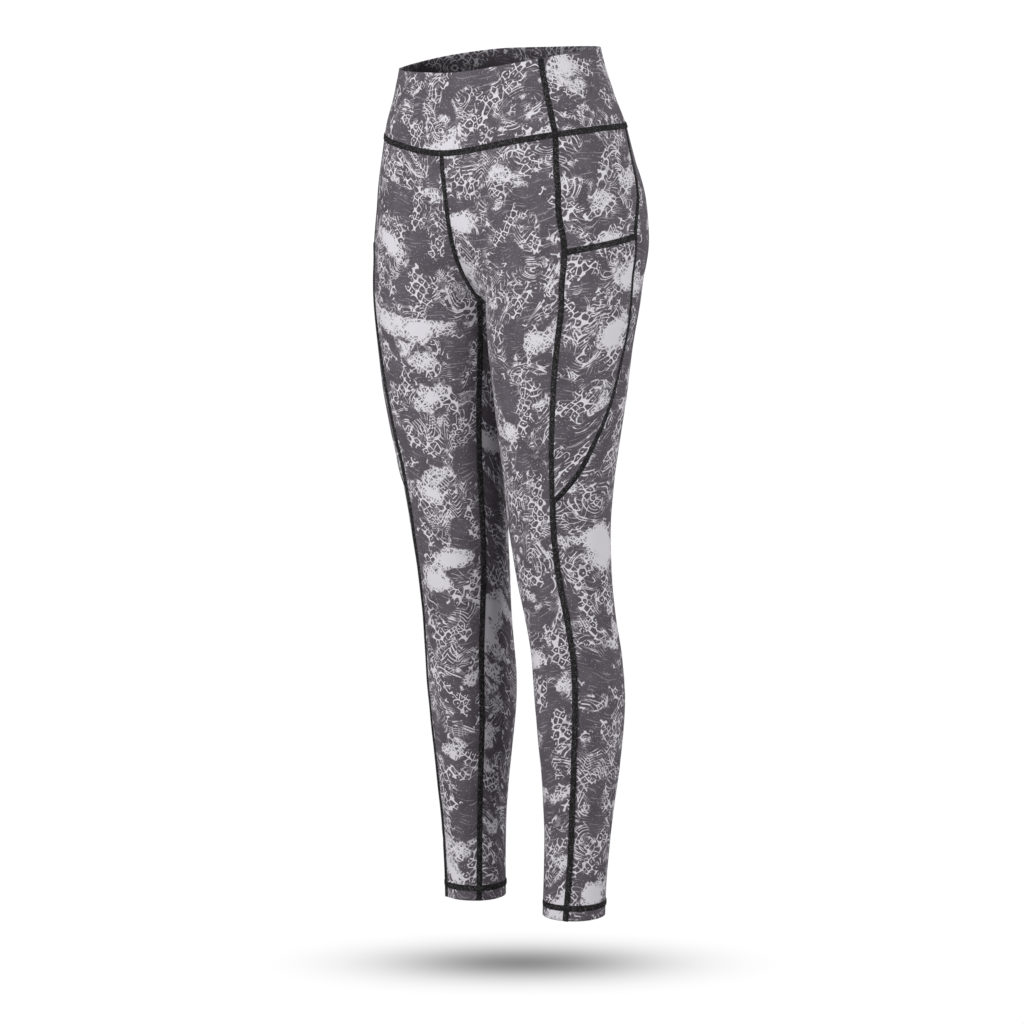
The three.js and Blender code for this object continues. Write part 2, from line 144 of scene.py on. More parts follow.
# About how far each point lies outside the cloth's outer face.
def distanceOutside(points):
    x, y, z = np.abs(points[..., 0]), points[..., 1], points[..., 2]
    reach = sizeAt(blends, "reach", z)
    centreX, centreY = sizeAt(leg, "x", z), sizeAt(leg, "y", z)
    depth = np.where(y > centreY, sizeAt(leg, "back", z), sizeAt(leg, "front", z))
    outer, inner = sizeAt(leg, "outer", z), sizeAt(leg, "inner", z)

    def legAt(across):
        width = np.where(across > centreX, outer, inner)
        share = np.hypot((across - centreX) / width, (y - centreY) / depth)
        return (share - 1) * np.minimum(width, depth)

    legs = meld(legAt(x), legAt(-x), reach)
    front, back = sizeAt(hips, "front", z), sizeAt(hips, "back", z)
    halfWidth = np.maximum(sizeAt(hips, "halfWidth", z), 1e-4)
    halfDepth = np.maximum((back - front) / 2, 1e-4)
    shares = (x / halfWidth) ** hipSquareness
    shares = shares + np.abs((y - (front + back) / 2) / halfDepth) ** hipSquareness
    hipDistance = (shares ** (1 / hipSquareness) - 1) * np.minimum(halfWidth, halfDepth)
    return np.where(z <= hips["z"][-1], legs, meld(hipDistance, legs, reach))


# Where rays from inside the body leave it, no further than the limit.
def leaveBody(start, direction, limit):
    inside, outside = np.zeros(start.shape[:-1]), limit + np.zeros(start.shape[:-1])
    whole = distanceOutside(start + direction * outside[..., None]) <= 0
    for _ in range(halvings):
        middle = (inside + outside) / 2
        out = distanceOutside(start + direction * middle[..., None]) > 0
        outside = np.where(out, middle, outside)
        inside = np.where(out, inside, middle)
    return start + direction * np.where(whole, limit, inside)[..., None]


# Points of the outer face at angles about the centre line: 0 is the side, -90 the front.
def facePoints(angle, z):
    angle, z = np.broadcast_arrays(np.asarray(angle, float), np.asarray(z, float))
    turn = np.radians(angle)
    start = np.stack([sizeAt(centreLine, "x", z), sizeAt(centreLine, "y", z), z], -1)
    direction = np.stack([np.cos(turn), np.sin(turn), 0 * turn], -1)
    inward = direction[..., 0] < -1e-9
    toMiddle = np.where(inward, start[..., 0] / np.where(inward, -direction[..., 0], 1), searchReach)
    return leaveBody(start, direction, np.minimum(toMiddle, searchReach))


# The same all round the waist, where angles past 90 and -90 are on the right half.
def roundWaist(angle, z):
    onLeft = np.cos(np.radians(angle)) >= 0
    points = facePoints(np.where(onLeft, angle, 180 - angle), z)
    points[..., 0] *= np.where(onLeft, 1, -1)
    return points


def faceNormals(points):
    slopes = []
    for axis in range(3):
        shift = np.zeros(3)
        shift[axis] = normalStep
        slopes.append(distanceOutside(points + shift) - distanceOutside(points - shift))
    normals = np.stack(slopes, -1)
    return normals / np.linalg.norm(normals, axis=-1, keepdims=True)


# The waistband's two edges: height at the side, rise towards the back and dip at the front.
waistEdge = {
    "rimZ": 0.002,
    "rimRise": 0.015,
    "rimBow": 0.008,
    "seamZ": -0.078,
    "seamRise": 0.008,
    "seamFall": 0.012,
    "seamDip": 0.014,
    "dipPower": 2.5,
    "lowAngle": 197,  # the rim sits a little lower at the wearer's right side
    "lowReach": 68,
    "lowBy": 0.0076,
}


# A share from 0 to 1, eased at both ends.
def softened(share):
    return share * share * (3 - 2 * share)


def rimHeight(angle):
    back = np.sin(np.radians(angle))
    away = (np.asarray(angle) - waistEdge["lowAngle"] + 180) % 360 - 180
    lower = waistEdge["lowBy"] * softened(np.clip(1 - np.abs(away) / waistEdge["lowReach"], 0, 1))
    return waistEdge["rimZ"] + waistEdge["rimRise"] * back - waistEdge["rimBow"] * back * back - lower


def waistSeamHeight(angle):
    back = np.sin(np.radians(angle))
    dip = waistEdge["seamDip"] * np.maximum(-back, 0) ** waistEdge["dipPower"]
    atFront = waistEdge["seamFall"] * back - dip
    return waistEdge["seamZ"] + np.where(back < 0, atFront, waistEdge["seamRise"] * back)


# The line where the two halves meet: down the front or back, and under the crotch.
def crotchArc(fromSlope, toSlope):
    turn = np.radians(np.linspace(fromSlope, toSlope, rise["fineSteps"] + 1))
    direction = np.stack([0 * turn, -np.cos(turn), -np.sin(turn)], -1)
    start = np.zeros_like(direction) + (0, rise["footY"], rise["footZ"])
    return leaveBody(start, direction, searchReach)


def riseCurve(side, lastSlope):
    z = np.linspace(waistSeamHeight(90 * side), rise["footZ"], rise["fineSteps"], endpoint=False)
    start = np.stack([0 * z, rise["footY"] + 0 * z, z], -1)
    straight = leaveBody(start, np.array([0, side, 0]) + 0 * start, searchReach)
    return np.concatenate([straight, crotchArc(0 if side < 0 else 180, lastSlope)])


def lengthAlong(points):
    steps = np.linalg.norm(np.diff(points, axis=0), axis=-1)
    return np.concatenate([np.zeros((1,) + steps.shape[1:]), np.cumsum(steps, axis=0)])


def evenly(points, count):
    run = lengthAlong(points)
    wanted = np.linspace(0, run[-1], count + 1)
    return np.stack([np.interp(wanted, run, points[:, axis]) for axis in range(3)], -1)


# Creases, placed one by one on one side each, by angle and height on that side.
creases = {
    "taper": 0.35,  # share of the length over which each end fades out
    "near": 0.16,  # a crease moves nothing further than this from its middle
    "points": 24,
}
creaseRows = table(
    "side fromAngle fromZ toAngle toZ depth width",
    (1, -112, -0.262, -84, -0.232, -0.0007, 0.006), (1, -120, -0.285, -92, -0.262, -0.0009, 0.007),
    (-1, -114, -0.258, -80, -0.236, -0.0008, 0.006), (-1, -124, -0.29, -98, -0.27, -0.0007, 0.006),
    (1, 60, -0.292, 118, -0.286, -0.0011, 0.009), (1, 84, -0.312, 130, -0.302, -0.0006, 0.007),
    (-1, 64, -0.287, 122, -0.294, -0.001, 0.009), (-1, 78, -0.315, 116, -0.305, -0.0007, 0.006),
    (1, 60, -0.548, 112, -0.54, -0.0008, 0.006), (1, 70, -0.571, 128, -0.566, -0.001, 0.007),
    (1, 52, -0.592, 96, -0.597, -0.0007, 0.006), (-1, 64, -0.543, 118, -0.55, -0.0009, 0.006),
    (-1, 58, -0.574, 104, -0.566, -0.0008, 0.007), (-1, 80, -0.598, 124, -0.59, -0.0006, 0.005),
    (1, -112, -0.573, -84, -0.579, -0.0005, 0.006), (-1, -108, -0.58, -76, -0.572, -0.0005, 0.006),
    (1, 66, -0.824, 108, -0.832, -0.0006, 0.006), (1, 88, -0.868, 128, -0.862, -0.0005, 0.005),
    (1, -70, -0.858, -30, -0.866, -0.0004, 0.005), (-1, 62, -0.838, 112, -0.83, -0.0006, 0.006),
    (-1, 76, -0.872, 118, -0.878, -0.0005, 0.005), (-1, -84, -0.862, -44, -0.854, -0.0004, 0.005),
    (1, 20, -0.118, 58, -0.104, -0.0004, 0.007), (-1, 16, -0.11, 52, -0.122, -0.0005, 0.007),
)


def between(first, last, share):
    return first[:, None] + (last - first)[:, None] * share


def creasePaths(rows):
    share = np.linspace(0, 1, creases["points"])
    angle = between(rows["fromAngle"], rows["toAngle"], share)
    points = facePoints(angle, between(rows["fromZ"], rows["toZ"], share))
    points[..., 0] *= rows["side"][:, None]
    return points, softened(np.clip(np.minimum(share, 1 - share) / creases["taper"], 0, 1))


creasePoints, creaseFade = creasePaths(creaseRows)


# How far the creases move each point out along its normal.
def relief(points):
    flat = points.reshape(-1, 3)
    moved = np.zeros(len(flat))
    for path, depth, width in zip(creasePoints, creaseRows["depth"], creaseRows["width"]):
        near = np.linalg.norm(flat - path.mean(axis=0), axis=1) < creases["near"]
        away = np.linalg.norm(flat[near, None] - path[None], axis=-1)
        bump = (np.exp(-((away / width) ** 2)) * creaseFade).max(axis=1)
        moved[near] += depth * bump
    return moved.reshape(points.shape[:-1])


foldZ = hem["edge"] + hem["turnUp"]

# Rows of the panels: height on the front-side and back-side seams, and rows to the next level.
levels = {
    "waistSeam": (-0.085, -0.0755, 42),
    "pocketMouth": (-0.205, -0.1895, 28),
    "crotch": (-0.276, -0.268, 42),
    "sideTaper": (-0.41, -0.41, 35),
    "sidePoint": (-0.466, -0.466, 133),
    "hemStitch": (foldZ + hem["step"], foldZ + hem["step"], 1),
    "hemFold": (foldZ, foldZ, 6),
    "hemEdge": (hem["edge"], hem["edge"], 1),
}
cloth = {
    "thickness": 0.0009,
    "doubled": 0.002,  # the waistband, and the turned-up hem
    "drawnIn": 0.00025,  # each panel's edge, from the seam's middle
    "edgeRound": 0.5,  # how far an edge bulges, in half thicknesses
    "fadeRows": 28,  # rows over which the dip of the waist seam fades out
    "edgeShade": 0.3,  # of the light that is kept off the inner face
}


def levelRow(name):
    above = list(levels.values())[: list(levels).index(name)]
    return sum(count for _, _, count in above)


def rowHeights(column):
    steps = list(levels.values())
    heights = []
    for here, following in zip(steps, steps[1:] + steps[-1:]):
        share = np.arange(here[2]) / here[2]
        heights.append(here[column] + (following[column] - here[column]) * share)
    return np.concatenate(heights)


frontSideZ, backSideZ = rowHeights(0), rowHeights(1)
onHem = np.arange(len(frontSideZ)) >= levelRow("hemFold")
rowThickness = np.where(onHem, cloth["doubled"], cloth["thickness"])
crotchRow, mouthRow, pointRow = map(levelRow, ("crotch", "pocketMouth", "sidePoint"))
underCrotchColumns = 15
frontRise = evenly(riseCurve(-1, rise["inseamSlope"]), crotchRow)
backRise = evenly(riseCurve(1, rise["lowestSlope"]), crotchRow)
underCrotch = evenly(crotchArc(rise["lowestSlope"], rise["inseamSlope"]), underCrotchColumns)
inseamTop, lowestPoint = underCrotch[-1], underCrotch[0]


# Rows start at the given height under the crotch and are level again at the side point.
def mixHeight(z, topHeight):
    top, level = frontSideZ[crotchRow], frontSideZ[pointRow]
    return np.where(z < level, z, topHeight + (level - topHeight) * (top - z) / (top - level))


def angleOf(points):
    dx = points[:, 0] - sizeAt(centreLine, "x", points[:, 2])
    dy = points[:, 1] - sizeAt(centreLine, "y", points[:, 2])
    return np.degrees(np.arctan2(dy, dx))


# One end of every row: angles, heights, the first row's angle, and points where they are known.
def rowEnds(angle, z, top, points=None):
    return {"angle": angle, "z": z, "top": top, "points": points}


# The rows' ends on a side seam. The first row follows the waist.
def seamEnds(line, z):
    angle, height = sizeAt(line, "angle", z), z.copy()
    height[0] = waistSeamHeight(angle[0])
    return rowEnds(angle, height, angle[0])


# The inseam leaves the crotch where the rise ends, and soon runs on its own line.
def inseamAngle(z):
    start = angleOf(inseamTop[None])[0] - sizeAt(inseamLine, "angle", inseamTop[2:])[0]
    far = np.clip((inseamTop[2] - z) / rise["inseamJoin"], 0, 1)
    return sizeAt(inseamLine, "angle", z) + start * (1 - far) ** 2 * (1 + 2 * far)


inseamZ = np.linspace(inseamTop[2], hem["edge"], 400)
inseamPath = facePoints(inseamAngle(inseamZ), inseamZ)
closePath = np.concatenate([frontRise, inseamPath[::4], backRise])  # every fourth point is enough

# Light that close cloth keeps off along the crotch seams: how much, how far out, and the share of
# that reach towards the front. Heights are from the inseam's top.
closeCloth = table(
    "z depth reach front",
    (0.09, 0, 0.01, 1),
    (0.03, 0.5, 0.018, 1),
    (0, 0.75, 0.018, 0.9),
    (-0.06, 0.75, 0.022, 0.6),
    (-0.25, 0.65, 0.028, 0.4),
    (-0.42, 0.5, 0.032, 0.4),
    (-0.55, 0.35, 0.03, 0.4),
    (hem["edge"] - inseamTop[2], 0.15, 0.03, 0.4),
)


def crotchShade(points):
    height = closePath[:, 2] - inseamTop[2]
    sizes = [sizeAt(closeCloth, name, height) for name in ("depth", "reach", "front")]
    beside = np.abs(points) * (1, 0, 0) + points * (0, 1, 1)
    shade = np.zeros(len(points))
    for centre, depth, reach, front in zip(closePath, *sizes):
        away = (beside - centre) / reach
        away[:, 1] /= np.where(away[:, 1] < 0, front, 1)
        shade = np.maximum(shade, depth * np.exp(-(away * away).sum(axis=1)))
    return shade


def riseEnds(points, top, lowerAngle, lowerZ):
    angle = np.concatenate([angleOf(points), lowerAngle])
    return rowEnds(angle, np.concatenate([points[:, 2], lowerZ]), top, points)


# A grid of points on the outer face, a line of them from one end to the other for each row.
def panelGrid(start, end, columns, firstRow=0):
    share = np.linspace(0, 1, columns + 1)
    angle, z = (between(start[key], end[key], share) for key in ("angle", "z"))
    topZ = waistSeamHeight(start["top"]) * (1 - share) + waistSeamHeight(end["top"]) * share
    rows = firstRow + np.arange(len(angle))
    fade = np.maximum(1 - rows / cloth["fadeRows"], 0)
    z = z + fade[:, None] * (waistSeamHeight(angle) - topZ)
    grid = facePoints(angle, z)
    for side, place in ((start, 0), (end, -1)):
        if side["points"] is not None:
            grid[: len(side["points"]), place] = side["points"]
    return grid


# A sheet gathers grids of points, with its place on the printed cloth and its thickness.
def newSheet():
    return {"points": [], "uv": [], "thickness": [], "quads": [], "count": 0}


def addGrid(sheet, grid, thickness, uv, sharedIds=None):
    lines, columns = grid.shape[:2]
    first = 0 if sharedIds is None else 1
    ids = sheet["count"] + np.arange(lines * (columns - first)).reshape(lines, -1)
    sheet["count"] += ids.size
    sheet["points"].append(grid[:, first:].reshape(-1, 3))
    sheet["uv"].append(uv[:, first:].reshape(-1, 2))
    sheet["thickness"].append(np.repeat(thickness + np.zeros(lines), columns - first))
    if sharedIds is not None:
        ids = np.concatenate([sharedIds[:, None], ids], axis=1)
    corners = [ids[1:, :-1], ids[1:, 1:], ids[:-1, 1:], ids[:-1, :-1]]
    sheet["quads"].append(np.stack(corners, -1).reshape(-1, 4))
    return ids


# Lengths over the cloth, across from the grid's middle column and down from its first row.
def layFlat(grid, acrossStart=None, downStart=0):
    across = lengthAlong(grid.transpose(1, 0, 2)).T
    if acrossStart is None:
        acrossStart = -across[:, grid.shape[1] // 2]
    return np.stack([across + acrossStart[:, None], -lengthAlong(grid) - downStart], -1)


def joinedSheet(sheet):
    parts = {key: np.concatenate(sheet[key]) for key in ("points", "uv", "thickness", "quads")}
    parts["normals"] = faceNormals(parts["points"])
    return parts


def sheetOf(grid, thickness):
    sheet = newSheet()
    addGrid(sheet, grid, thickness, layFlat(grid))
    return joinedSheet(sheet)


# The sheet's outline as pairs of points, and the way out of the sheet at each of them.
def outlineOf(points, normals, quads):
    edges = np.concatenate([quads[:, [k, (k + 1) % 4]] for k in range(4)])
    size = len(points)
    there, back = edges[:, 0] * size + edges[:, 1], edges[:, 1] * size + edges[:, 0]
    edges = edges[~np.isin(there, back)]
    along = points[edges[:, 1]] - points[edges[:, 0]]
    along /= np.linalg.norm(along, axis=1, keepdims=True)
    wayOut = np.zeros_like(points)
    for end in (0, 1):
        np.add.at(wayOut, edges[:, end], np.cross(along, normals[edges[:, end]]))
    reach = np.linalg.norm(wayOut, axis=1, keepdims=True)
    return edges, wayOut / np.maximum(reach, 1e-9)


def newObject(name, points, faces):
    mesh = bpy.data.meshes.new(name)
    mesh.from_pydata(points.tolist(), [], faces)
    mesh.update()
    made = bpy.data.objects.new(name, mesh)
    bpy.context.scene.collection.objects.link(made)
    mesh.polygons.foreach_set("use_smooth", [True] * len(mesh.polygons))
    return made


def setUv(made, uv):
    layer = made.data.uv_layers.new(name="cloth")
    corner = np.empty(len(made.data.loops), int)
    made.data.loops.foreach_get("vertex_index", corner)
    layer.data.foreach_set("uv", uv[corner].ravel())


# A closed shell from a sheet: its outer face, its inner face and round edges between.
def clothShell(name, sheet, side, lift, printShift):
    points, normals = sheet["points"] * (side, 1, 1), sheet["normals"] * (side, 1, 1)
    quads = sheet["quads"] if side > 0 else sheet["quads"][:, ::-1]
    edges, wayOut = outlineOf(points, normals, quads)
    points = points + normals * (relief(points) + lift)[:, None] - wayOut * cloth["drawnIn"]
    if "oneSide" in sheet:
        points[:, 0] = side * np.maximum(side * points[:, 0], cloth["drawnIn"] / 2)
    count = len(points)
    inner = points - normals * sheet["thickness"][:, None]
    rimIds = np.unique(edges)
    place = np.full(count, -1)
    place[rimIds] = 2 * count + np.arange(len(rimIds))
    bulge = wayOut[rimIds] * (sheet["thickness"][rimIds] * cloth["edgeRound"] / 2)[:, None]
    middle = (points[rimIds] + inner[rimIds]) / 2 + bulge
    start, end = edges.T
    outerRim = np.stack([start, place[start], place[end], end], -1)
    innerRim = np.stack([place[start], count + start, count + end, place[end]], -1)
    faces = np.concatenate([quads, quads[:, ::-1] + count, outerRim, innerRim])
    made = newObject(name, np.concatenate([points, inner, middle]), faces.tolist())
    uv = sheet["uv"] * (side, 1) + printShift
    setUv(made, np.concatenate([uv, uv, uv[rimIds]]))
    shade = made.data.attributes.new("shade", "FLOAT", "POINT")
    shades = [crotchShade(points), np.ones(count), np.full(len(rimIds), cloth["edgeShade"])]
    shade.data.foreach_set("value", np.concatenate(shades))
    return made


def feed(node, inputs):
    for name, value in inputs.items():
        if isinstance(value, Wire):
            value.tree.links.new(value.socket, node.inputs[name])
        else:
            node.inputs[name].default_value = value


def mathsWith(operation, kind="ShaderNodeMath"):
    return lambda wire, other=0.0: wire.node(kind, {"operation": operation}, {0: wire, 1: other})


# Shader maths. A Wire is one output socket, and expressions on wires add Math nodes.
class Wire:
    def __init__(self, tree, socket):
        self.tree = tree
        self.socket = socket

    def node(self, kind, settings=None, inputs=None, output=0):
        made = self.tree.nodes.new(kind)
        for name, value in (settings or {}).items():
            setattr(made, name, value)
        feed(made, inputs or {})
        return Wire(self.tree, made.outputs[output])

    __add__ = __radd__ = mathsWith("ADD")
    __sub__ = mathsWith("SUBTRACT")
    __mul__ = mathsWith("MULTIPLY")
    __truediv__ = mathsWith("DIVIDE")
    most = mathsWith("MAXIMUM")
    fraction = mathsWith("FRACT")
    size = mathsWith("ABSOLUTE")
    wave = mathsWith("SINE")
    scaled = mathsWith("MULTIPLY", "ShaderNodeVectorMath")
    moved = mathsWith("ADD", "ShaderNodeVectorMath")

    def __rsub__(self, other):
        return self.node("ShaderNodeMath", {"operation": "SUBTRACT"}, {0: other, 1: self})

    def __rpow__(self, other):
        return self.node("ShaderNodeMath", {"operation": "POWER"}, {0: other, 1: self})

    def fade(self, low, high):  # 0 below low, 1 above high and soft between, or turned round
        turned = low > high
        ends = {"From Min": min(low, high), "From Max": max(low, high)}
        ends.update({"To Min": float(turned), "To Max": float(not turned), "Value": self})
        return self.node("ShaderNodeMapRange", {"interpolation_type": "SMOOTHSTEP"}, ends)

    def part(self, axis):
        return self.node("ShaderNodeSeparateXYZ", {}, {0: self}, axis)

    def noise(self, size, detail=1.0, roughness=0.5, output=0):
        inputs = {"Vector": self, "Scale": 1 / size, "Detail": detail, "Roughness": roughness}
        return self.node("ShaderNodeTexNoise", {"noise_dimensions": "2D"}, inputs, output)

    def cells(self, size, feature="F1", randomness=1.0, output=0):
        settings = {"voronoi_dimensions": "2D", "feature": feature}
        inputs = {"Vector": self, "Scale": 1 / size, "Randomness": randomness}
        return self.node("ShaderNodeTexVoronoi", settings, inputs, output)


def blendColours(factor, first, second):
    inputs = {0: factor, 6: first, 7: second}
    return factor.node("ShaderNodeMix", {"data_type": "RGBA"}, inputs, 2)


def newMaterial(name):
    material = bpy.data.materials.new(name)
    material.use_nodes = True
    return material, material.node_tree.nodes["Principled BSDF"]


def placeOnCloth(material):  # the piece's own place on the flat cloth, in millimetres
    uv = material.node_tree.nodes.new("ShaderNodeUVMap")
    uv.uv_map = "cloth"
    return Wire(material.node_tree, uv.outputs[0]).scaled((1000, 1000, 0))


# The print is generic: broken arcs, flow lines, cell nets, hatching and pale clouds, in mm.
clothPrint = {
    "ground": (0.143, 0.122, 0.149, 1),
    "groundDark": (0.109, 0.091, 0.114, 1),
    "ink": (0.93, 0.9, 0.965, 1),
    "line": 0.92,
    "thinLine": 0.6,
    "softEdge": 0.3,
    "hardEdge": 0.15,
    "drift": 42,
    "shake": 8,
    "arcCell": 58,
    "arcSpacing": 4.6,
    "edgingSpacing": 17.0,
    "strandSpacing": 10.5,
    "flowSpacing": 3.4,
    "chevronSpacing": 4.4,
    "zigzag": 22,
    "netSize": 7.4,
    "smallNetSize": 4.4,
    "cloudSize": 58,
    "cloudFrom": 0.674,
    "cloudEdge": 0.07,
}
# Where each motif shows: the noise's shift, size and detail, and the levels it sets in between.
printMasks = {
    "busy": ((230, -510, 0), 46, 1, 0.43, 0.52),
    "arcs": ((-310, 40, 0), 24, 1, 0.47, 0.5),
    "edging": ((90, 410, 0), 27, 1, 0.49, 0.52),
    "strands": ((640, 51, 0), 31, 1, 0.42, 0.47),
    "scribbles": ((-77, 300, 0), 21, 1, 0.56, 0.6),
    "chevrons": ((-90, 60, 0), 52, 0, 0.6, 0.62),
}


# Thin lines where a distance in millimetres passes each multiple of the spacing.
def linesAt(distance, spacing, width):
    away = ((distance / spacing).fraction() - 0.5).size() * spacing
    return away.fade(width / 2 + clothPrint["softEdge"], width / 2 - clothPrint["hardEdge"])


def printTone(place):
    values = clothPrint
    line, cell, small = values["line"], values["netSize"], values["smallNetSize"]
    mask = {}
    for name, (shift, size, detail, low, high) in printMasks.items():
        mask[name] = place.moved(shift).noise(size, detail).fade(low, high)
    drift, shake = (place.noise(size, 1.0, 0.5, 1).moved((-0.5, -0.5, -0.5)) for size in (60, 15))
    bent = place.moved(drift.scaled((values["drift"], values["drift"], 0)))
    turn = {"Vector": place, "Angle": 0.72}
    turned = place.node("ShaderNodeVectorRotate", {"rotation_type": "Z_AXIS"}, turn)
    wavy = turned.moved(shake.scaled((values["shake"], values["shake"], 0)))
    weak = place.moved((70, -260, 0)).noise(9, 2.0)
    strength = weak.fade(0.36, 0.55)

    # Broken arcs round scattered centres, each with its own cut-off and edging.
    arcs = bent.cells(values["arcCell"], "F1", 1.0) * values["arcCell"]
    arcLines = linesAt(arcs, values["arcSpacing"], line) * mask["arcs"] * arcs.fade(30, 24)
    edging = linesAt(arcs + 1.4, values["edgingSpacing"], 1.1)
    edging = edging.most(linesAt(arcs - 1.0, values["edgingSpacing"], 0.7)) * mask["edging"]

    # Long single strands, and flow lines that run across the cloth in groups.
    strandPlace = place.moved((12, -440, 0)).noise(44, 1.0) * 130
    strands = linesAt(strandPlace, values["strandSpacing"], 0.8) * mask["strands"]
    flow = bent.part(1) + place.moved((500, 0, 0)).noise(48, 1.0) * 52
    flowMask = place.moved((33, 720, 0)).scaled((0.6, 1.1, 0)).noise(17, 1.0).fade(0.57, 0.61)
    flowLines = linesAt(flow, values["flowSpacing"], values["thinLine"]) * flowMask

    # Small closed scribbles.
    scribble = (wavy.moved((5, 87, 0)).noise(8.5, 1.0) - 0.5).size().fade(0.036, 0.014)

    # Nets of rounded cells with a dot in some of them.
    netEdge = wavy.cells(cell, "DISTANCE_TO_EDGE", 0.55) * cell
    fromMiddle = wavy.cells(cell, "F1", 0.55) * cell
    net = netEdge.fade(0.8, 0.35).most(fromMiddle.fade(3.6, 4.2))
    net = net.most(fromMiddle.fade(1.0, 0.6) * weak.fade(0.45, 0.5))
    netMask = place.moved((810, 33, 0)).noise(30, 2.0, 0.6).fade(0.56, 0.575)
    smallNet = (wavy.cells(small, "DISTANCE_TO_EDGE", 0.9) * small).fade(0.85, 0.35)

    # Chevrons, hatching and specks.
    zigzag = ((bent.part(0) / values["zigzag"]).fraction() - 0.5).size() * values["zigzag"]
    chevrons = linesAt(bent.part(1) + zigzag * 0.9, values["chevronSpacing"], line) * mask["chevrons"]
    hatching = place.moved(drift.scaled((0, 24, 0))).scaled((0.09, 1, 0)).noise(1.8, 0.0).fade(0.7, 0.78)
    specks = place.noise(1.7, 0.0)

    # Pale clouds, full in the middle and ragged round it.
    cloud = place.moved((-600, -90, 0)).scaled((0.8, 1.2, 0)).noise(values["cloudSize"], 1.5, 0.5)
    ragged = cloud + smallNet * 0.025 + net * 0.02 + (specks - 0.5) * 0.05 + (weak - 0.5) * 0.1
    start, edge = values["cloudFrom"], values["cloudEdge"]
    core = ragged.fade(start, start + edge)
    fringe = (cloud + (weak - 0.5) * 0.1).fade(start - edge, start - 0.02)

    faint = 0.3 + strength * 0.7
    drawn = arcLines.most(edging).most(strands).most(flowLines).most(chevrons)
    tone = drawn * faint * (0.12 + mask["busy"] * 0.88) * (1 - netMask * 0.8)
    tone = tone.most(scribble * mask["scribbles"] * mask["busy"] * faint * (1 - netMask))
    tone = tone.most(net * netMask * (0.55 + strength * 0.45))
    tone = tone.most(fringe * smallNet * 0.75).most(fringe * net * 0.9)
    tone = tone.most(fringe * specks.fade(0.56, 0.64) * 0.6)
    tone = tone.most(hatching * 0.3).most(specks.fade(0.76, 0.84) * 0.4)
    return tone.most(core).fade(0.05, 0.84)


# Knitted jersey: columns of small V stitches, in mm, with puckers.
jersey = {
    "stitchWidth": 0.62,
    "stitchHeight": 0.48,
    "slant": 1.6,
    "stitchRelief": 0.35,
    "columnRelief": 1.3,
    "puckers": 1.2,
    "depth": 0.00006,
    "roughness": 0.74,
    "inkGloss": 0.1,
    "shadeDepth": 0.55,  # of the light that close cloth keeps off
}


def jerseyFinish():
    material, shader = newMaterial("panelJersey")
    place = placeOnCloth(material)
    tone = printTone(place)
    mottle = place.noise(30, 3.0, 0.6).fade(0.3, 0.7)
    ground = blendColours(mottle, clothPrint["groundDark"], clothPrint["ground"])
    colour = blendColours(tone, ground, clothPrint["ink"])
    shade = place.node("ShaderNodeAttribute", {"attribute_name": "shade"}, {}, 2)
    colour = blendColours(shade * jersey["shadeDepth"], colour, (0, 0, 0, 1))
    across, down = place.part(0) / jersey["stitchWidth"], place.part(1) / jersey["stitchHeight"]
    lean = (across.fraction() - 0.5).size()
    stitch = ((down + lean * jersey["slant"]) * (2 * math.pi)).wave() * jersey["stitchRelief"]
    stitch = stitch + (0.5 - lean) * jersey["columnRelief"]
    height = stitch + place.noise(7, 2.0) * jersey["puckers"]
    bumpInputs = {"Height": height, "Strength": 0.5, "Distance": jersey["depth"]}
    looks = {
        "Base Color": colour,
        "Roughness": jersey["roughness"] - tone * jersey["inkGloss"],
        "Normal": height.node("ShaderNodeBump", {}, bumpInputs),
        "Sheen Weight": 0.12,
        "Sheen Roughness": 0.45,
        "Specular IOR Level": 0.35,
    }
    feed(shader, looks)
    return material


thread = {
    "dark": (0.012, 0.011, 0.0125, 1),
    "pale": (0.15, 0.145, 0.155, 1),
    "twist": (3.1, 7.0),  # radians a millimetre, across and along the seam
}


def threadFinish():
    material, shader = newMaterial("seamThread")
    place = placeOnCloth(material)
    fleck = place.noise(1.1, 1.0).fade(0.5, 0.62)
    pale = place.moved((50, 20, 0)).cells(1.5, "F1", 1.0, 1).part(0).fade(0.5, 0.8)
    twist = (place.part(0) * thread["twist"][0] + place.part(1) * thread["twist"][1]).wave()
    bumpInputs = {"Height": twist, "Strength": 0.4, "Distance": 0.0001}
    looks = {
        "Base Color": blendColours(fleck * pale, thread["dark"], thread["pale"]),
        "Normal": twist.node("ShaderNodeBump", {}, bumpInputs),
        "Roughness": 0.6,
        "Specular IOR Level": 0.3,
    }
    feed(shader, looks)
    return material


panelJersey = jerseyFinish()
seamThread = threadFinish()
print("finishes made")


def dress(made, material):
    made.data.materials.append(material)
    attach(made, "root")


# Panels: the cut's flat size as width, length and area, columns of points, and the left and the right
# panel's place on the printed cloth.
panels = {
    "front": {"flat": (0.125, 0.86), "area": 0.068, "columns": 36, "shifts": ((0.11, 0.32), (0.93, -0.41))},
    "back": {"flat": (0.235, 0.87), "area": 0.149, "columns": 60, "shifts": ((1.35, 0.77), (-0.62, 1.28))},
    "side": {"flat": (0.105, 0.39), "area": 0.026, "columns": 32, "shifts": ((2.17, -0.36), (-1.44, 0.58))},
    "pocket": {"flat": (0.088, 0.265), "area": 0.016, "shifts": ((2.63, 1.71), (0.37, 2.29))},
}
pocketLift = {"edge": 0.001, "middle": 0.0013, "flatness": 6}


def frontSheet():
    lowerZ = mixHeight(frontSideZ[crotchRow + 1 :], inseamTop[2])
    inner = riseEnds(frontRise, -90, inseamAngle(lowerZ), lowerZ)
    grid = panelGrid(inner, seamEnds(frontSideLine, frontSideZ), panels["front"]["columns"])
    return sheetOf(grid, rowThickness)


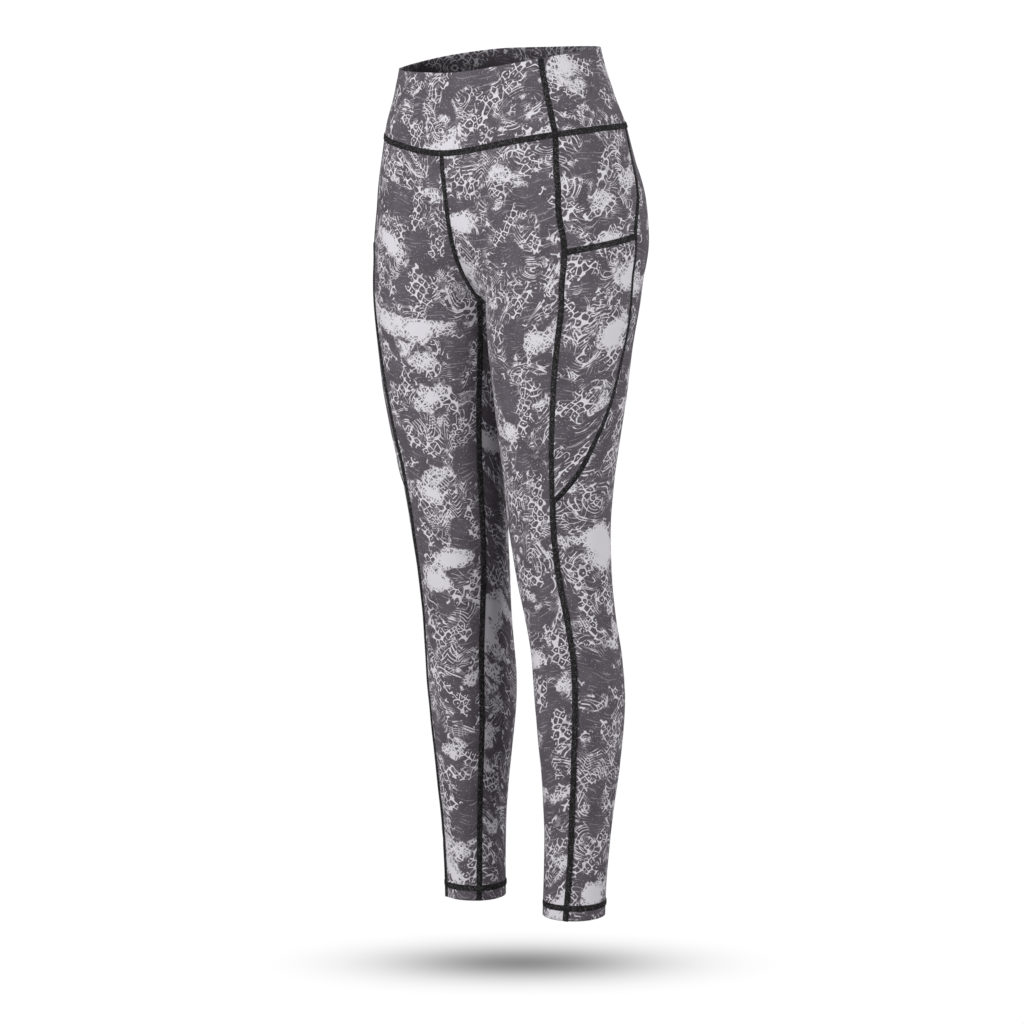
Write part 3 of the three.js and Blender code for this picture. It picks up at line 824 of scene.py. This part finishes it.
def backSheet():
    outer = seamEnds(frontSideLine, frontSideZ)
    upper = seamEnds(backSideLine, backSideZ[:pointRow])
    for key in ("angle", "z"):
        outer[key][:pointRow] = upper[key]
    outer["top"] = upper["top"]
    below = frontSideZ[crotchRow + 1 :]
    innerZ = mixHeight(below, lowestPoint[2])
    inner = riseEnds(backRise, 90, 180 + 0 * innerZ, innerZ)
    inner["angle"][crotchRow] = 180
    behind = panelGrid(outer, inner, panels["back"]["columns"])
    outerZ = mixHeight(below, inseamTop[2])
    start, end = rowEnds(180 + 0 * innerZ, innerZ, 90), rowEnds(inseamAngle(outerZ) + 360, outerZ, 90)
    strip = panelGrid(start, end, underCrotchColumns, crotchRow + 1)
    strip = np.concatenate([underCrotch[None], strip])
    strip[:, 0] = behind[crotchRow:, -1]
    sheet = newSheet()
    flat = layFlat(behind)
    ids = addGrid(sheet, behind, rowThickness, flat)
    stripFlat = layFlat(strip, flat[crotchRow:, -1, 0], -flat[crotchRow, -1, 1])
    addGrid(sheet, strip, rowThickness[crotchRow:], stripFlat, ids[crotchRow:, -1])
    return joinedSheet(sheet)


def sideGrid():
    front = seamEnds(frontSideLine, frontSideZ[:pointRow])
    back = seamEnds(backSideLine, backSideZ[:pointRow])
    return panelGrid(front, back, panels["side"]["columns"])


# The pocket lies on the side panel and comes down to it where the seams catch it.
def pocketRise(share):
    middle = 1 - np.abs(2 * share - 1) ** pocketLift["flatness"]
    return pocketLift["edge"] + (pocketLift["middle"] - pocketLift["edge"]) * middle


def makePanels():
    side = sideGrid()
    pocket = side[mouthRow:]
    sheets = {
        "front": frontSheet(),
        "back": backSheet(),
        "side": sheetOf(side, cloth["thickness"]),
        "pocket": sheetOf(pocket, cloth["thickness"]),
    }
    lifts = {"pocket": np.tile(pocketRise(np.linspace(0, 1, pocket.shape[1])), len(pocket))}
    hangsFrom = {"front": "waistband_front", "back": "waistband_back", "side": "waistband_back"}
    for kind, sheet in sheets.items():
        cut = panels[kind]
        sheet["oneSide"] = True
        for name, turn, shift in zip(("Left", "Right"), (1, -1), cut["shifts"]):
            made = clothShell(kind + "Panel" + name, sheet, turn, lifts.get(kind, 0.0), shift)
            dress(made, panelJersey)
            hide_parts(kind + "_" + name.lower())
            restsOn = [hangsFrom.get(kind, "side_" + name.lower())]


makePanels()
print("panels made")

waistband = {
    "rows": 26,
    "rimAngle": -28.6,  # where the seam between the two parts meets the rim
    "front": {"flat": (0.245, 0.083), "area": 0.0175, "columns": 96, "shift": (5.27, 0.64)},
    "back": {"flat": (0.405, 0.083), "area": 0.0325, "columns": 150, "shift": (6.9, -0.35)},
}
bandSeamAngle = float(sizeAt(frontSideLine, "angle", frontSideZ[:1])[0])


# The angle of the left or right band seam at a share of the band's height.
def bandSeamAt(share):
    return waistband["rimAngle"] + (bandSeamAngle - waistband["rimAngle"]) * share


def rightSeamAt(share):
    return 180 - bandSeamAt(share)


def bandSheet(start, end, columns):
    share = np.linspace(0, 1, waistband["rows"] + 1)[:, None]
    along = np.linspace(0, 1, columns + 1)[None]
    angle = start(share) * (1 - along) + end(share) * along
    z = rimHeight(angle) * (1 - share) + waistSeamHeight(angle) * share
    return sheetOf(roundWaist(angle, z), cloth["doubled"])


def makeWaistband():
    spans = {"front": (lambda share: rightSeamAt(share) - 360, bandSeamAt), "back": (bandSeamAt, rightSeamAt)}
    for kind, (start, end) in spans.items():
        cut = waistband[kind]
        sheet = bandSheet(start, end, cut["columns"])
        made = clothShell("waistband" + kind.capitalize(), sheet, 1, 0.0, cut["shift"])
        dress(made, panelJersey)
        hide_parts("waistband_" + kind)


makeWaistband()
print("waistband made")

# Flat seams: a low bar of interlaced thread with rows of needle stitches on it.
seam = {
    "width": 0.0064,
    "pitch": 0.0026,
    "crown": 0.00045,
    "sink": 0.0004,
    "barColumns": 9,
    "rows": 4,
    "margin": 0.0006,  # from the bar's edge to the outer rows
    "needleLength": 0.0022,
    "needleRadius": 0.00034,
    "needleFlatness": 0.8,
    "stagger": 0.25,  # of a pitch, from row to row
    "looperRadius": 0.00026,
    "looperHeight": 0.9,
    "overSeams": 0.0004,  # how much higher the waist's and the hems' seams lie
    "mouthEase": 0.004,
    "cornerStep": 0.001,
    "cornerReach": 21,  # steps over which the inseam's top is rounded off
    "settlings": 4,
    "crotchLift": 0.0011,
    "crotchShare": 0.038,
    "crotchReach": 0.034,
    "riseSteps": 300,
    "frontStops": 13,  # steps before the end of the rise, where the inseams take over
    "backStops": 4,
}


def crownAt(across):
    return seam["crown"] * (1 - (2 * across / seam["width"]) ** 4)


# One pitch of stitches, made once: beads in rows, with slanting threads between the rows.
def stitchUnit():
    rows, quarterTurn = seam["rows"], math.pi / 2
    places = (np.arange(rows) - (rows - 1) / 2) * (seam["width"] - 2 * seam["margin"]) / (rows - 1)
    made = []
    for i, across in enumerate(places):
        bpy.ops.mesh.primitive_uv_sphere_add(segments=5, ring_count=4, radius=1, rotation=(quarterTurn, 0, 0))
        bead = bpy.context.object
        radius = seam["needleRadius"]
        bead.scale = (radius, radius * seam["needleFlatness"], seam["needleLength"] / 2)
        bead.location = (across, (i % 2) * seam["pitch"] * seam["stagger"], crownAt(across))
        made.append(bead)
    for i, (here, there) in enumerate(zip(places, places[1:])):
        middle, halfPitch = (here + there) / 2, seam["pitch"] / 2
        lean = math.atan2(there - here, halfPitch if i % 2 else -halfPitch)
        long = math.hypot(there - here, halfPitch)
        size = {"vertices": 4, "radius": seam["looperRadius"], "depth": long}
        bpy.ops.mesh.primitive_cylinder_add(rotation=(quarterTurn, 0, quarterTurn - lean), **size)
        looper = bpy.context.object
        looper.location = (middle, 0, crownAt(middle) * seam["looperHeight"])
        made.append(looper)
    bpy.ops.object.select_all(action="DESELECT")
    for piece in made:
        piece.select_set(True)
    bpy.context.view_layer.objects.active = made[0]
    bpy.ops.object.transform_apply(location=True, rotation=True, scale=True)
    bpy.ops.object.join()
    unit = bpy.context.object
    points = np.array([v.co[:] for v in unit.data.vertices])
    faces = [list(p.vertices) for p in unit.data.polygons]
    bpy.data.objects.remove(unit, do_unlink=True)
    return points, faces


unitPoints, unitFaces = stitchUnit()


# A seam's frame, four steps a pitch: its points, the way across and the way out of the cloth.
def seamFrame(path, side, closed):
    run = lengthAlong(path)
    count = max(4, round(run[-1] / seam["pitch"]))
    fine = evenly(path, count * 4)
    normals = faceNormals(fine) * (side, 1, 1)
    fine = fine * (side, 1, 1)
    along = np.gradient(fine, axis=0)
    if closed:
        along[0] = along[-1] = fine[1] - fine[-2]
    along -= (along * normals).sum(axis=1, keepdims=True) * normals
    along /= np.linalg.norm(along, axis=1, keepdims=True)
    points = fine + normals * relief(fine)[:, None]
    across = np.cross(normals, along) * side
    return {"points": points, "across": across, "normals": normals, "length": run[-1], "count": count}


# Places unit points (across, along, up) on the seam's frame.
def onSeam(line, across, along, up):
    share = np.clip(along / line["length"], 0, 1) * (len(line["points"]) - 1)
    low = np.minimum(share.astype(int), len(line["points"]) - 2)
    part = (share - low)[..., None]
    keys = ("points", "across", "normals")
    points, sideways, normals = (line[key][low] * (1 - part) + line[key][low + 1] * part for key in keys)
    return points + sideways * across[..., None] + normals * up[..., None]


def barSection():
    top = np.linspace(-0.5, 0.5, seam["barColumns"]) * seam["width"]
    return np.concatenate([top, top[[-1, 0]]]), np.concatenate([crownAt(top), [-seam["sink"]] * 2])


# liftSide raises one half of a seam where it lies on the pocket, from a length on.
def sewSeam(name, path, side=1, closed=False, lift=0.0, liftSide=None):
    line = seamFrame(path, side, closed)
    stations = line["count"] * 2 + 1

    def raised(across, along):
        extra = lift(along / line["length"]) if callable(lift) else lift
        extra = extra + 0 * across
        if liftSide is not None:
            toward, height, fromLength = liftSide
            reach = np.clip(across * toward * 2 / seam["width"] + 1, 0, 1)
            ease = np.clip((along - fromLength) / seam["mouthEase"], 0, 1)
            extra = extra + height * softened(reach) * ease
        return extra

    sectionX, sectionZ = barSection()
    along = np.linspace(0, line["length"], stations)[:, None] + 0 * sectionX
    across = sectionX + 0 * along
    bar = onSeam(line, across, along, sectionZ + raised(across, along)).reshape(-1, 3)
    ids = np.arange(across.size).reshape(across.shape)
    after = np.roll(ids, -1, axis=1)
    faces = np.stack([ids[:-1], after[:-1], after[1:], ids[1:]], -1).reshape(-1, 4)
    barFaces = (faces[:, ::-1] if side > 0 else faces).tolist()
    if not closed:
        ends = [ids[0].tolist(), ids[-1][::-1].tolist()]
        barFaces += [end if side > 0 else end[::-1] for end in ends]
    centres = (np.arange(line["count"]) + 0.5) * line["length"] / line["count"]
    unitX = unitPoints[:, 0] + 0 * centres[:, None]
    unitY = unitPoints[:, 1] + centres[:, None]
    unitZ = unitPoints[:, 2] + raised(unitX, unitY)
    threads = onSeam(line, unitX, unitY, unitZ).reshape(-1, 3)
    first = len(bar) + np.arange(line["count"]) * len(unitPoints)
    turned = [face if side > 0 else face[::-1] for face in unitFaces]
    threadFaces = [[corner + start for corner in face] for start in first.tolist() for face in turned]
    made = newObject(name, np.concatenate([bar, threads]), barFaces + threadFaces)
    places = [np.stack([x.ravel(), y.ravel()], -1) for x, y in ((across, along), (unitX, unitY))]
    setUv(made, np.concatenate(places))
    dress(made, seamThread)


# A path with its corners rounded over a number of points each way, and laid back on the cloth.
def eased(path, reach):
    padded = np.concatenate([path[:1].repeat(reach, axis=0), path, path[-1:].repeat(reach, axis=0)])
    sums = np.cumsum(np.concatenate([np.zeros((1, 3)), padded]), axis=0)
    soft = (sums[2 * reach + 1 :] - sums[: -2 * reach - 1]) / (2 * reach + 1)
    soft[0], soft[-1] = path[0], path[-1]
    for _ in range(seam["settlings"]):
        soft = soft - faceNormals(soft) * distanceOutside(soft)[:, None]
    return soft


# The inseam's thread lies higher where the panels turn tightly under the crotch.
def crotchLift(share):
    near = np.clip(1 - np.abs(share - seam["crotchShare"]) / seam["crotchReach"], 0, 1)
    return seam["crotchLift"] * softened(near)


# An inseam leaves the front seam in a curve, a little above the crotch.
def roundInseam():
    whole = np.concatenate([frontRise[:-1], inseamPath])
    steps, riseSteps = (round(lengthAlong(path)[-1] / seam["cornerStep"]) for path in (whole, frontRise))
    return eased(evenly(whole, steps), seam["cornerReach"])[riseSteps - seam["cornerReach"] :]


def seamPath(line, fromZ, toZ):
    z = np.linspace(fromZ, toZ, 400)
    return facePoints(sizeAt(line, "angle", z), z)


def sewAll():
    turn = np.linspace(0, 360, 500)
    over = seam["overSeams"]
    sewSeam("waistSeam", roundWaist(turn, waistSeamHeight(turn)), closed=True, lift=over)
    mouth = sideGrid()[mouthRow]
    sideSeams = (
        ("front", frontSideLine, frontSideZ, hem["edge"], 1),
        ("back", backSideLine, backSideZ, frontSideZ[pointRow], -1),
    )
    share = np.linspace(0, 1, 60)
    turn = np.linspace(0, 360, 240)
    hemPath = facePoints(turn, foldZ)
    for name, side, seamAt in (("Left", 1, bandSeamAt), ("Right", -1, rightSeamAt)):
        z = rimHeight(seamAt(share)) * (1 - share) + waistSeamHeight(seamAt(share)) * share
        sewSeam("bandSeam" + name, facePoints(bandSeamAt(share), z), side)
        for part, line, z, lowest, toward in sideSeams:
            liftSide = (toward, pocketLift["edge"], z[0] - z[mouthRow])
            sewSeam(part + "SideSeam" + name, seamPath(line, z[0], lowest), side, liftSide=liftSide)
        sewSeam("inseam" + name, roundInseam(), side, lift=crotchLift)
        sewSeam("pocketMouthSeam" + name, mouth, side, lift=pocketRise)
        sewSeam("hemSeam" + name, hemPath, side, closed=True, lift=over)
    centreBack = np.concatenate([backRise, underCrotch[1:]])
    sewSeam("centreFrontSeam", evenly(frontRise, seam["riseSteps"])[: -seam["frontStops"]])
    sewSeam("centreBackSeam", evenly(centreBack, seam["riseSteps"])[: -seam["backStops"]])


sewAll()
print("seams sewn")

camera = {
    "azimuth": 43,
    "elevation": 6.3,
    "distance": 3.7,
    "lens": 121.0,
    "aimZ": -0.488,
    "aimRight": 0.003,
}


def placeCamera():
    turn, tilt = math.radians(camera["azimuth"]), math.radians(camera["elevation"])
    right = Vector((math.cos(turn), math.sin(turn), 0))
    back = Vector((math.sin(turn) * math.cos(tilt), -math.cos(turn) * math.cos(tilt), math.sin(tilt)))
    aim = Vector((0, 0, camera["aimZ"])) + right * camera["aimRight"]
    bpy.ops.object.camera_add(location=aim + back * camera["distance"])
    made = bpy.context.object
    made.rotation_euler = back.to_track_quat("Z", "Y").to_euler()
    made.data.lens = camera["lens"]
    bpy.context.scene.camera = made
    return right, back


studio = {
    "floorZ": -0.975,
    "floorSize": 30,
    "floorLight": 1.02,
    "backdrop": 1.05,
    "ambient": 0.2,
    "lampsAimZ": -0.45,
    "lights": {  # place along the view's right, towards the camera and up, then size and power
        "top": ((0, 0, 1.7), 1.4, 8),
        "key": ((-1.9, 1.9, -0.1), 1.6, 45),
        "fill": ((2.1, 0.95, -0.1), 1.15, 23),
    },
    "shadowCentre": (0.031, -0.013),
    "shadowSize": (0.15, 0.08),  # across and along the view, where it has faded to a third
    "shadowDepth": 0.742,
}


# A plain white floor that glows, with the soft shadow under the legs painted on it.
def floorFinish():
    material, shader = newMaterial("whiteFloor")
    tree = material.node_tree
    place = Wire(tree, tree.nodes.new("ShaderNodeTexCoord").outputs["Object"])
    turn = math.radians(camera["azimuth"])
    x = place.part(0) - studio["shadowCentre"][0]
    y = place.part(1) - studio["shadowCentre"][1]
    across = (x * math.cos(turn) + y * math.sin(turn)) / studio["shadowSize"][0]
    along = (y * math.cos(turn) - x * math.sin(turn)) / studio["shadowSize"][1]
    away = across * across + along * along
    fall = math.exp(-1) ** away
    light = studio["floorLight"] - fall * studio["shadowDepth"]
    grey = light.node("ShaderNodeCombineColor", {}, {0: light, 1: light, 2: light})
    looks = {"Emission Color": grey, "Emission Strength": 1.0, "Base Color": (0, 0, 0, 1)}
    feed(shader, {**looks, "Specular IOR Level": 0.0})
    return material


def softLight(name, place, size, power):
    bpy.ops.object.light_add(type="AREA", location=place)
    lamp = bpy.context.object
    lamp.name = name
    lamp.data.shape = "DISK"
    lamp.data.size = size
    lamp.data.energy = power
    toward = Vector((0, 0, studio["lampsAimZ"])) - Vector(place)
    lamp.rotation_euler = toward.to_track_quat("-Z", "Y").to_euler()


def lightStudio(right, back):
    bpy.ops.mesh.primitive_plane_add(size=studio["floorSize"], location=(0, 0, studio["floorZ"]))
    floor = bpy.context.object
    floor.name = "floor"
    floor.data.materials.append(floorFinish())
    floor.visible_diffuse = False
    floor.visible_glossy = False
    world = bpy.data.worlds.new("studio")
    world.use_nodes = True
    bpy.context.scene.world = world
    tree = world.node_tree
    lit = tree.nodes["Background"]
    seen = tree.nodes.new("ShaderNodeBackground")
    feed(lit, {"Color": (1, 1, 1, 1), "Strength": studio["ambient"]})
    feed(seen, {"Color": (1, 1, 1, 1), "Strength": studio["backdrop"]})
    ray = Wire(tree, tree.nodes.new("ShaderNodeLightPath").outputs["Is Camera Ray"])
    shown = {0: ray, 1: Wire(tree, lit.outputs[0]), 2: Wire(tree, seen.outputs[0])}
    mixed = ray.node("ShaderNodeMixShader", {}, shown)
    feed(tree.nodes["World Output"], {"Surface": mixed})
    for name, (place, size, power) in studio["lights"].items():
        spot = right * place[0] + back * place[1] + Vector((0, 0, place[2]))
        softLight(name, tuple(spot), size, power)
    bpy.context.scene.view_settings.view_transform = "Standard"
    bpy.context.scene.view_settings.look = "None"


lightStudio(*placeCamera())
bpy.ops.object.select_all(action="DESELECT")
print("studio ready")
